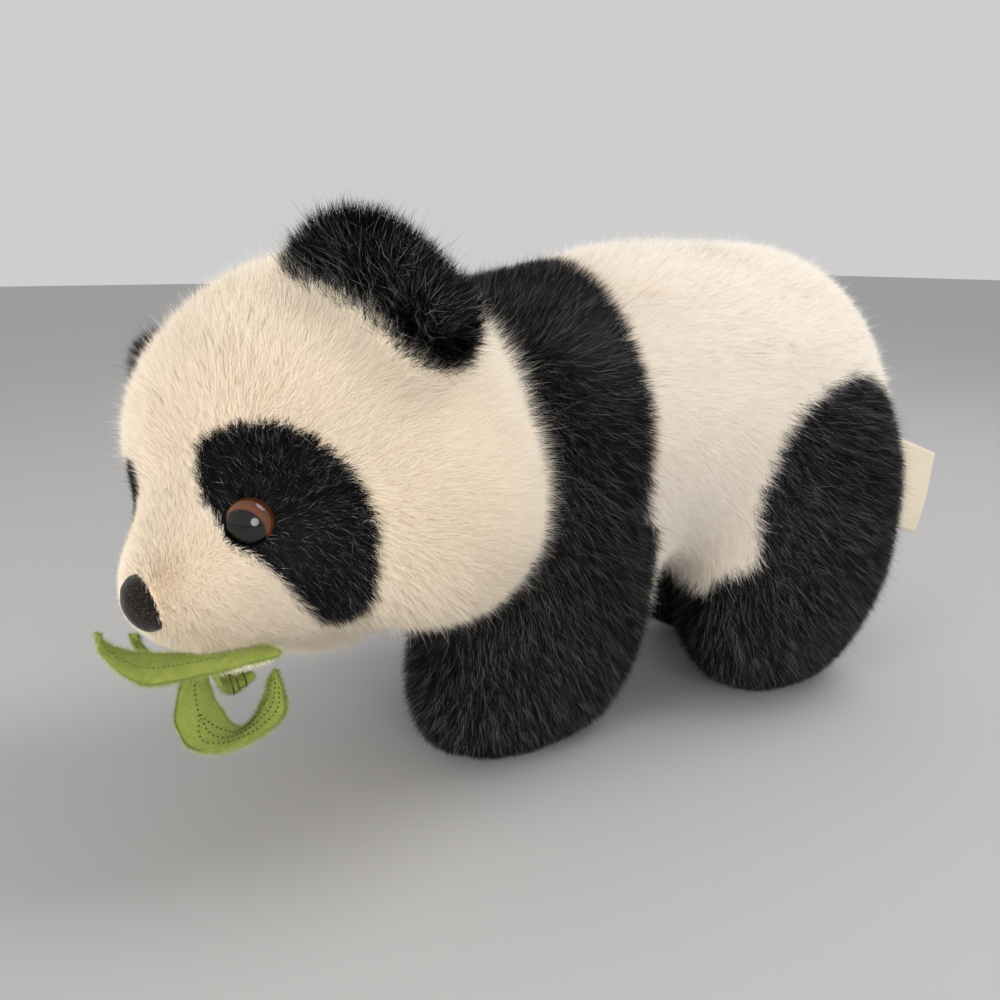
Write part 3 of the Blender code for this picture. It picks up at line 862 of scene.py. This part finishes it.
leafPaths = {  # middle of the strip and its half width, from one end to the other
    "leaf_upper": [
        (0.0550, -0.2160, 0.0825, 0.0005, 0.0004, -0.0004),
        (0.0580, -0.2140, 0.0775, 0.0015, -0.0014, -0.0005),
        (0.0640, -0.2060, 0.0730, 0.0048, -0.0012, -0.0026),
        (0.0695, -0.1960, 0.0735, 0.0050, -0.0010, -0.0020),
        (0.0760, -0.1865, 0.0760, 0.0044, -0.0010, -0.0018),
        (0.0840, -0.1763, 0.0790, 0.0028, -0.0008, -0.0010),
        (0.0882, -0.1689, 0.0797, 0.0013, -0.0002, -0.0008),
    ],
    "leaf_curl": [
        (0.0690, -0.1915, 0.0755, -0.0009, -0.0029, 0.0000),
        (0.0708, -0.1913, 0.0703, -0.0005, -0.0036, 0.0000),
        (0.0747, -0.1922, 0.0654, 0.0003, -0.0048, 0.0004),
        (0.0781, -0.1919, 0.0600, 0.0009, -0.0069, 0.0006),
        (0.0803, -0.1895, 0.0545, 0.0023, -0.0075, 0.0000),
        (0.0808, -0.1845, 0.0520, 0.0042, -0.0056, -0.0003),
        (0.0790, -0.1770, 0.0527, 0.0060, -0.0020, -0.0004),
        (0.0755, -0.1695, 0.0568, 0.0056, 0.0012, -0.0011),
        (0.0725, -0.1670, 0.0618, 0.0038, 0.0010, -0.0011),
        (0.0689, -0.1661, 0.0665, 0.0010, 0.0002, 0.0002),
    ],
    "leaf_back": [
        (0.0780, -0.1840, 0.0800, 0.0020, 0.0004, -0.0004),
        (0.0720, -0.1850, 0.0695, 0.0022, 0.0002, -0.0010),
        (0.0700, -0.1815, 0.0648, 0.0023, 0.0002, -0.0020),
        (0.0700, -0.1777, 0.0652, 0.0020, 0.0001, -0.0014),
        (0.0695, -0.1727, 0.0662, 0.0008, 0.0000, -0.0007),
    ],
    "leaf_far": [
        (0.0410, -0.2040, 0.0750, 0.0006, 0.0011, 0.0000),
        (0.0441, -0.2037, 0.0724, 0.0008, 0.0014, -0.0004),
        (0.0520, -0.2015, 0.0705, 0.0010, 0.0022, 0.0000),
        (0.0620, -0.1990, 0.0712, 0.0008, 0.0024, 0.0000),
        (0.0700, -0.1970, 0.0760, 0.0008, 0.0024, 0.0000),
    ],
}

leaf = {
    "thickness": 0.0014,
    "cup": 0.12,  # how far the edges curl up, as a share of the half width
    "cut": {"leaf_curl": (0.03, 1), "leaf_back": (0.13, 1), "leaf_far": (0, 0.86)},  # what shows of a strip
    "point": 12.0,  # how suddenly a strip comes to its tip
    "rowsPerStep": 10,
    "colour": (0.225, 0.295, 0.042),
    "pale": (0.380, 0.430, 0.105),
    "edge": (0.44, 0.60, 0.22),  # painted highlight: the palest loose fibres, most of them at the rim
    "thread": (0.012, 0.034, 0.008),
    "paleThread": (0.085, 0.165, 0.025),
    "tuft": 380,  # strands of the chin's pile under the long leaf
    "fibres": 34,  # to a square millimetre of one face
    "fibreLength": 0.0019,
    "fibreWidth": 0.00010,
}

# the loose felt fibres, with the edge colour as a painted highlight
fibrePile = {"root": leaf["colour"], "tip": leaf["pale"], "glint": leaf["edge"],
             "roughness": 0.9, "specular": 0.5}

stitch = {"Spacing": 0.00150, "Length": 0.00085, "Thickness": 0.00056, "Seed": 4}


def smoothPath(points, count):
    last = len(points) - 1
    t = np.linspace(0, last, count)
    i = np.minimum(t.astype(int), last - 1)
    f = (t - i)[:, None]
    a, b, c, d = (points[np.clip(i + k, 0, last)] for k in (-1, 0, 1, 2))
    return 0.5 * (2 * b + (c - a) * f + (2 * a - 5 * b + 4 * c - d) * f**2 + (3 * b - 3 * c + d - a) * f**3)


class Strip:  # the middle surface of a strip of felt: t runs along it, s across it from -1 to 1
    def __init__(self, name):
        path = np.array(leafPaths[name])
        low, high = leaf["cut"].get(name, (0, 1))
        self.rows = leaf["rowsPerStep"] * (len(path) - 1) + 1
        full = smoothPath(path, 8 * self.rows)
        pick = np.linspace(low, high, self.rows) * (8 * self.rows - 1)
        path = full[np.round(pick).astype(int)]
        self.middle = path[:, :3] + toyAt
        t = np.linspace(0, 1, self.rows)
        phase = len(name) * 1.7
        ripple = 1 + 0.022 * np.sin(t * 21 + phase) + 0.014 * np.sin(t * 47 + 2 * phase)
        point = np.sqrt(np.clip((1 - t) * leaf["point"], 0, 1))
        if high < 1:
            point[:] = 1
        self.half = path[:, 3:] * (ripple * point.clip(0.12))[:, None]
        self.reach = np.linalg.norm(self.half, axis=1)
        self.up = unit(np.cross(np.gradient(self.middle, axis=0), self.half))

    def at(self, t, s, lift=0.0):
        row = np.clip(np.asarray(t, float), 0, 1) * (self.rows - 1)
        s = np.asarray(s, float)[..., None]
        i = np.minimum(row.astype(int), self.rows - 2)
        f = (row - i)[..., None]
        middle, half, up = (v[i] * (1 - f) + v[i + 1] * f for v in (self.middle, self.half, self.up))
        reach = np.linalg.norm(half, axis=-1, keepdims=True)
        rise = leaf["cup"] * reach
        face = unit(up * reach - half * (2 * leaf["cup"] * s))
        return middle + half * s + up * rise * s**2 + face * np.asarray(lift)[..., None], face

    def flatSize(self):  # width, length and area of the cut
        steps = np.linalg.norm(np.diff(self.middle, axis=0), axis=1)
        area = (steps * (self.reach[1:] + self.reach[:-1])).sum()
        return 2 * self.reach.max(), steps.sum(), area


def feltMesh(strip, name):  # both faces and a rounded rim
    thick = leaf["thickness"] / 2
    turn = np.radians([90, 65, 40, 18])
    rings = []
    for k in range(strip.rows):
        reach = strip.reach[k]
        rim = min(thick, 0.8 * reach)
        inner = reach - rim
        across = np.concatenate([-(inner + rim * np.sin(turn)), np.linspace(-inner, inner, 15),
                                 inner + rim * np.sin(turn[::-1])])
        height = np.concatenate([rim * np.cos(turn), np.full(15, rim), rim * np.cos(turn[::-1])])[:, None]
        t = np.full(len(across), k / (strip.rows - 1))
        top, face = strip.at(t, across / reach)
        loop = np.concatenate([top + face * height, (top - face * height)[-2:0:-1]])
        side = np.concatenate([across / reach, (across / reach)[-2:0:-1]])
        rings.append((loop, side, t[0]))
    bm = bmesh.new()
    grid = [[bm.verts.new(p) for p in loop] for loop, _, _ in rings]
    size = len(grid[0])
    uv = bm.loops.layers.uv.new("OFBake")
    place = {}
    for verts, (_, side, t) in zip(grid, rings):
        for number, (v, s) in enumerate(zip(verts, side)):
            place[v] = (t, (s + 1) / 4 + (0.5 if number > size // 2 else 0))
    for a, b in zip(grid, grid[1:]):
        for i in range(size):
            j = (i + 1) % size
            bm.faces.new((a[i], a[j], b[j], b[i]))
    for loop, flip in ((grid[0], True), (grid[-1], False)):
        middle = bm.verts.new(sum((v.co for v in loop), Vector()) / size)
        place[middle] = place[loop[0]]
        for i in range(size):
            ends = (loop[i], loop[(i + 1) % size])
            bm.faces.new((middle, *(ends[::-1] if flip else ends)))
    return sheetMesh(bm, name, uv, place)


def feltMaterial():
    material, tree, shader = newMaterial("bambooFelt")
    patches = mathOf(tree, "MULTIPLY", noiseOf(tree, 260, Detail=4), 0.45)
    matted = mathOf(tree, "MULTIPLY_ADD", noiseOf(tree, 1500, Detail=3, Distortion=1.5), 0.55, patches)
    colour = mixed(tree, stretched(tree, matted, 0.36, 0.64), leaf["colour"], leaf["pale"])
    setInputs(tree, shader, {"Base Color": colour, "Normal": bumpOf(tree, matted, 0.7, 0.0002),
                             "Roughness": 0.95, "Specular IOR Level": 0.15, "Sheen Weight": 0.15})
    return material


def threadMaterial(name, colour):
    material, tree, shader = newMaterial(name)
    dark, light = ([c * share for c in colour] for share in (0.6, 1.6))
    setInputs(tree, shader, {"Base Color": mixed(tree, noiseOf(tree, 2600), dark, light), "Roughness": 0.6})
    return material


def buildStitchTree():  # short capsules of thread in rows, along whatever lines of edges it is given
    tree = bpy.data.node_groups.new("stitchRows", "GeometryNodeTree")
    kinds = {"Rows": "Geometry", "Spacing": "Float", "Length": "Float", "Thickness": "Float", "Seed": "Int",
             "Thread": "Material"}
    for name, kind in kinds.items():
        tree.interface.new_socket(name, in_out="INPUT", socket_type="NodeSocket" + kind)
    tree.interface.new_socket("Stitches", in_out="OUTPUT", socket_type="NodeSocketGeometry")
    given = addNode(tree, "NodeGroupInput").outputs
    line = addNode(tree, "GeometryNodeMeshToCurve", {"Mesh": given["Rows"]}).outputs["Curve"]
    points = addNode(tree, "GeometryNodeCurveToPoints", {"Curve": line, "Length": given["Spacing"]},
                     mode="LENGTH").outputs
    capsule = addNode(tree, "GeometryNodeMeshUVSphere", {"Segments": 8, "Rings": 6, "Radius": 0.5})
    wobble = addNode(tree, "FunctionNodeRandomValue", {"Min": (-0.25,) * 3, "Max": (0.25,) * 3,
                                                       "Seed": given["Seed"]}, data_type="FLOAT_VECTOR")
    both = {0: points["Tangent"], 1: wobble.outputs["Value"]}
    aim = addNode(tree, "ShaderNodeVectorMath", both, operation="ADD")
    turn = addNode(tree, "FunctionNodeAlignRotationToVector", {"Vector": aim.outputs["Vector"]}, axis="Z")
    size = addNode(tree, "ShaderNodeCombineXYZ", {"X": given["Thickness"], "Y": given["Thickness"],
                                                  "Z": given["Length"]})
    copies = addNode(tree, "GeometryNodeInstanceOnPoints", {
        "Points": points["Points"], "Instance": capsule.outputs["Mesh"], "Rotation": turn.outputs["Rotation"],
        "Scale": size.outputs["Vector"]})
    solid = addNode(tree, "GeometryNodeRealizeInstances", {"Geometry": copies.outputs["Instances"]})
    smooth = addNode(tree, "GeometryNodeSetShadeSmooth", {"Geometry": solid.outputs["Geometry"]})
    finish = addNode(tree, "GeometryNodeSetMaterial", {"Geometry": smooth.outputs["Geometry"],
                                                       "Material": given["Thread"]})
    addNode(tree, "NodeGroupOutput", {"Stitches": finish.outputs["Geometry"]})
    return tree


stitchTree = buildStitchTree()


def makeStitches(name, lines, sizes, thread):  # lines is a list of rows of points
    mesh = bpy.data.meshes.new("rows")
    points, edges = [], []
    for line in lines:
        first = len(points)
        points += [tuple(p) for p in line]
        edges += [(first + k, first + k + 1) for k in range(len(line) - 1)]
    mesh.from_pydata(points, edges, [])
    blank = newObject("rows", mesh)
    rows = blank.modifiers.new("Stitches", "NODES")
    rows.node_group = stitchTree
    values = {**sizes, "Thread": thread}
    for item in stitchTree.interface.items_tree:
        if item.in_out == "INPUT" and item.name in values:
            rows[item.identifier] = values[item.name]
    return newObject(name, bakedMesh(blank))


def makeFibres(name, strip):  # the loose hairs that stand off a face or an edge of the felt
    area = strip.flatSize()[2]
    count = int(area * 1e6 * leaf["fibres"])
    weight = np.cumsum(strip.reach)
    t = (np.searchsorted(weight, rng.random(count) * weight[-1]) + rng.random(count) - 0.5) / (strip.rows - 1)
    rim = rng.random(count) < 0.3
    atRim = np.sign(rng.random(count) - 0.5) * rng.uniform(0.93, 1.0, count)
    s = np.where(rim, atRim, rng.uniform(-0.97, 0.97, count))
    side = np.where(rng.random(count) < 0.5, 1.0, -1.0)
    lift = side * leaf["thickness"] * 0.42 * np.where(rim, rng.random(count), 1)
    base, face = strip.at(t, s, lift)
    before = np.clip(t, 0, 0.99)
    ahead = unit(strip.at(before + 0.01, s, lift)[0] - strip.at(before, s, lift)[0])
    across = np.cross(face, ahead)
    out = np.where(rim[:, None], across * np.sign(s)[:, None], face * side[:, None])
    inwards = rim & ((out * (base - strip.at(t, np.zeros(count))[0])).sum(axis=1) < 0)
    out[inwards] *= -1
    phi = rng.uniform(0, 2 * np.pi, count)
    flat = ahead * np.cos(phi)[:, None] + np.cross(out, ahead) * np.sin(phi)[:, None]
    way = unit(out * rng.uniform(0.12, 0.75, count)[:, None] + flat)
    length = leaf["fibreLength"] * rng.uniform(0.5, 1.4, count) * np.where(rim, 1.2, 0.9)
    tip = base + way * length[:, None]
    half = unit(np.cross(way, out)) * leaf["fibreWidth"] / 2
    corners = np.stack([base - half, base + half, tip], axis=1)
    uv = np.stack([np.clip(t, 0, 1), (s + 1) / 4 + np.where(side > 0, 0, 0.5)], axis=1)
    # rim fibres take more of the painted highlight colour
    glintShare = np.where(rim, rng.uniform(0.3, 1.0, count), rng.uniform(0, 0.8, count))
    obj = newObject(name, bladeMesh(name, corners, out, glintShare, uv))
    obj.data.materials.append(felt["fibre"])
    return dressed(obj)


felt = {
    "cloth": feltMaterial(),
    "fibre": pileMaterial("feltFibre", fibrePile),
    "thread": threadMaterial("darkThread", leaf["thread"]),
    "paleThread": threadMaterial("greenThread", leaf["paleThread"]),
}


def stitchLine(strip, t, s, side):
    t = np.asarray(t, float)
    return strip.at(t, np.broadcast_to(s, t.shape), side * (leaf["thickness"] / 2 + 0.00004))[0]


def makeLeaves():
    strips = {name: Strip(name) for name in leafPaths}
    sheets, extras = {}, {}

    def sew(name, rows, sizes, thread):
        extras[name].append(dressed(makeStitches("stitches_" + name, rows, sizes, felt[thread])))

    for name, strip in strips.items():
        sheetName = "felt_" + name
        obj = newObject(sheetName, feltMesh(strip, sheetName))
        obj.data.materials.append(felt["cloth"])
        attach(obj, root)
        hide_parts(name)
        sheets[name] = obj
        extras[name] = [makeFibres("fibres_" + name, strip)]
    rows = []
    for side in (1, -1):
        curl = strips["leaf_curl"]
        t = np.linspace(0.12, 0.93, 60)
        rows.append(stitchLine(curl, t, 0.02, side))
        for way in (-0.60, 0.50):
            t = np.linspace(0.31, 0.90, 40)
            rows.append(stitchLine(curl, t, 0.02 + way * smoothStep(0.27, 0.47, t), side))
    sew("leaf_curl", rows, stitch, "thread")
    upper = strips["leaf_upper"]
    t = np.linspace(0.10, 0.72, 40)
    rows = [stitchLine(upper, t, 0.10 * np.sin(t * 5), side) for side in (1, -1)]
    sew("leaf_upper", rows, stitch, "paleThread")
    back = strips["leaf_back"]
    s = np.linspace(-0.95, 0.95, 12)
    rows = [stitchLine(back, np.full(12, at), s, side) for at in (0.52, 0.66, 0.80) for side in (1, -1)]
    wide = {**stitch, "Spacing": 0.0007, "Length": 0.0012, "Thickness": 0.00060}
    sew("leaf_back", rows, wide, "thread")
    makeChinTuft(upper)
    for name in ("leaf_upper", "leaf_curl"):
        more = extras[name]
        if name == "leaf_upper":
            more = more + [sheets["leaf_back"], sheets["leaf_far"]] + extras["leaf_back"] + extras["leaf_far"]
        width, length, area = strips[name].flatSize()
        print(name, "cut from", round(width * 1000, 1), "x", round(length * 1000, 1), "mm")


def makeChinTuft(strip):  # pale pile from the chin that shows below the long leaf
    count = leaf["tuft"]
    t = rng.triangular(0.60, 0.74, 0.95, count)
    base = strip.at(t, rng.uniform(0.25, 0.80, count))[0] - np.array((0, 0, 0.0010))
    way = unit(np.array((0.30, 0.62, -0.26)) + rng.normal(0, 0.34, (count, 3)))
    tip = base + way * (rng.uniform(0.0016, 0.0042, count) * (1 - 1.6 * np.abs(t - 0.74)))[:, None]
    up = np.tile(unit(np.array((0.85, -0.35, 0.30))), (count, 1))
    half = unit(np.cross(way, up)) * 0.00011
    corners = np.stack([base - half, base + half, tip], axis=1)
    uv = np.stack([t, np.full(count, 0.97)], axis=1)
    obj = newObject("coat_chin", bladeMesh("coat_chin", corners, up, rng.uniform(0, 0.6, count), uv))
    # the chin takes the face's copy of the white pile, with painted shade
    obj.data.materials.append(shadedFacePileFinish)
    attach(obj, root)


def dressed(obj):
    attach(obj, root)
    return obj


makeLeaves()
print("leaves made")


# The label: a bare cloth tape, folded over and sewn into the seam

label = {
    "thickness": 0.00042,
    "gap": 0.00010,
    "bow": 0.0012,
    "reach": 0.052,  # from the seam to the fold
    "colour": (0.80, 0.72, 0.58),
    "rib": (0.66, 0.57, 0.43),
    "thread": (0.62, 0.54, 0.42),
    "corners": [(0.034, 0.127, 0.116), (0.034, 0.121, 0.075), (0.030, 0.168, 0.0575), (0.030, 0.178, 0.0975)],
}


def labelMaterial():
    material, tree, shader = newMaterial("labelTape")
    weave = addNode(tree, "ShaderNodeUVMap", uv_map="OFBake").outputs["UV"]
    threads = [addNode(tree, "ShaderNodeTexWave", {"Vector": weave, "Scale": scale, "Distortion": wobble},
                       wave_type="BANDS", bands_direction=way, wave_profile="SIN").outputs["Fac"]
               for way, scale, wobble in (("X", 42, 0.4), ("Y", 60, 0))]
    cloth = mathOf(tree, "MULTIPLY", *threads)
    stain = mathOf(tree, "MULTIPLY", noiseOf(tree, 90), cloth)
    setInputs(tree, shader, {"Base Color": mixed(tree, stain, label["colour"], label["rib"]),
                             "Normal": bumpOf(tree, cloth, 0.4, 0.0001), "Roughness": 0.75,
                             "Sheen Weight": 0.2})
    return material


def makeLabel():
    rootTop, rootBottom, endBottom, endTop = (np.array(corner) + toyAt for corner in label["corners"])
    outward = unit(np.cross(endTop - rootTop, rootBottom - rootTop))
    if outward[0] < 0:
        outward = -outward

    def tapeAt(x, y, lift):  # x runs out from the seam, y down the tape
        point = (rootTop * (1 - y) + rootBottom * y) * (1 - x) + (endTop * (1 - y) + endBottom * y) * x
        wave = label["bow"] * math.sin(math.pi * y) + 0.0005 * math.sin(5 * y + 4 * x)
        return point + np.array((1.0, 0, 0)) * wave + outward * lift

    apart = (label["thickness"] + label["gap"]) / 2
    u = np.linspace(0, 1, 25)
    v = np.linspace(0, 1, 27)
    fold = np.radians(np.linspace(90, -90, 7)[1:-1])
    bend = [(1 + apart * math.cos(a) / label["reach"], apart * math.sin(a)) for a in fold]
    track = [(x, apart) for x in v] + bend + [(x, -apart) for x in v[::-1]]
    bm = bmesh.new()
    uv = bm.loops.layers.uv.new("OFBake")
    grid, place = [], {}
    for k, (x, lift) in enumerate(track):
        row = []
        for y in u:
            vert = bm.verts.new(tapeAt(x, y, lift))
            place[vert] = (0.41 * y, k / len(track))
            row.append(vert)
        grid.append(row)
    for a, b in zip(grid, grid[1:]):
        for i in range(len(u) - 1):
            bm.faces.new((a[i], a[i + 1], b[i + 1], b[i]))
    blank = newObject("tape", sheetMesh(bm, "tape", uv, place))
    solid = blank.modifiers.new("Solidify", "SOLIDIFY")
    solid.thickness = label["thickness"]
    solid.offset = 0
    mesh = bakedMesh(blank)
    mesh.shade_smooth()
    mesh.materials.clear()
    mesh.materials.append(labelMaterial())
    obj = newObject("bareLabel", mesh)
    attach(obj, root)
    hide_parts("label")

    surface = apart + label["thickness"] / 2 + 0.00003
    row = [tapeAt(0.55, y, surface) for y in np.linspace(0.03, 0.97, 24)]
    hem = {**stitch, "Spacing": 0.0016, "Length": 0.0013, "Thickness": 0.00026}
    creamThread = threadMaterial("creamThread", label["thread"])
    seams = makeStitches("stitches_label", [row], hem, creamThread)
    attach(seams, root)


makeLabel()
print("label made")
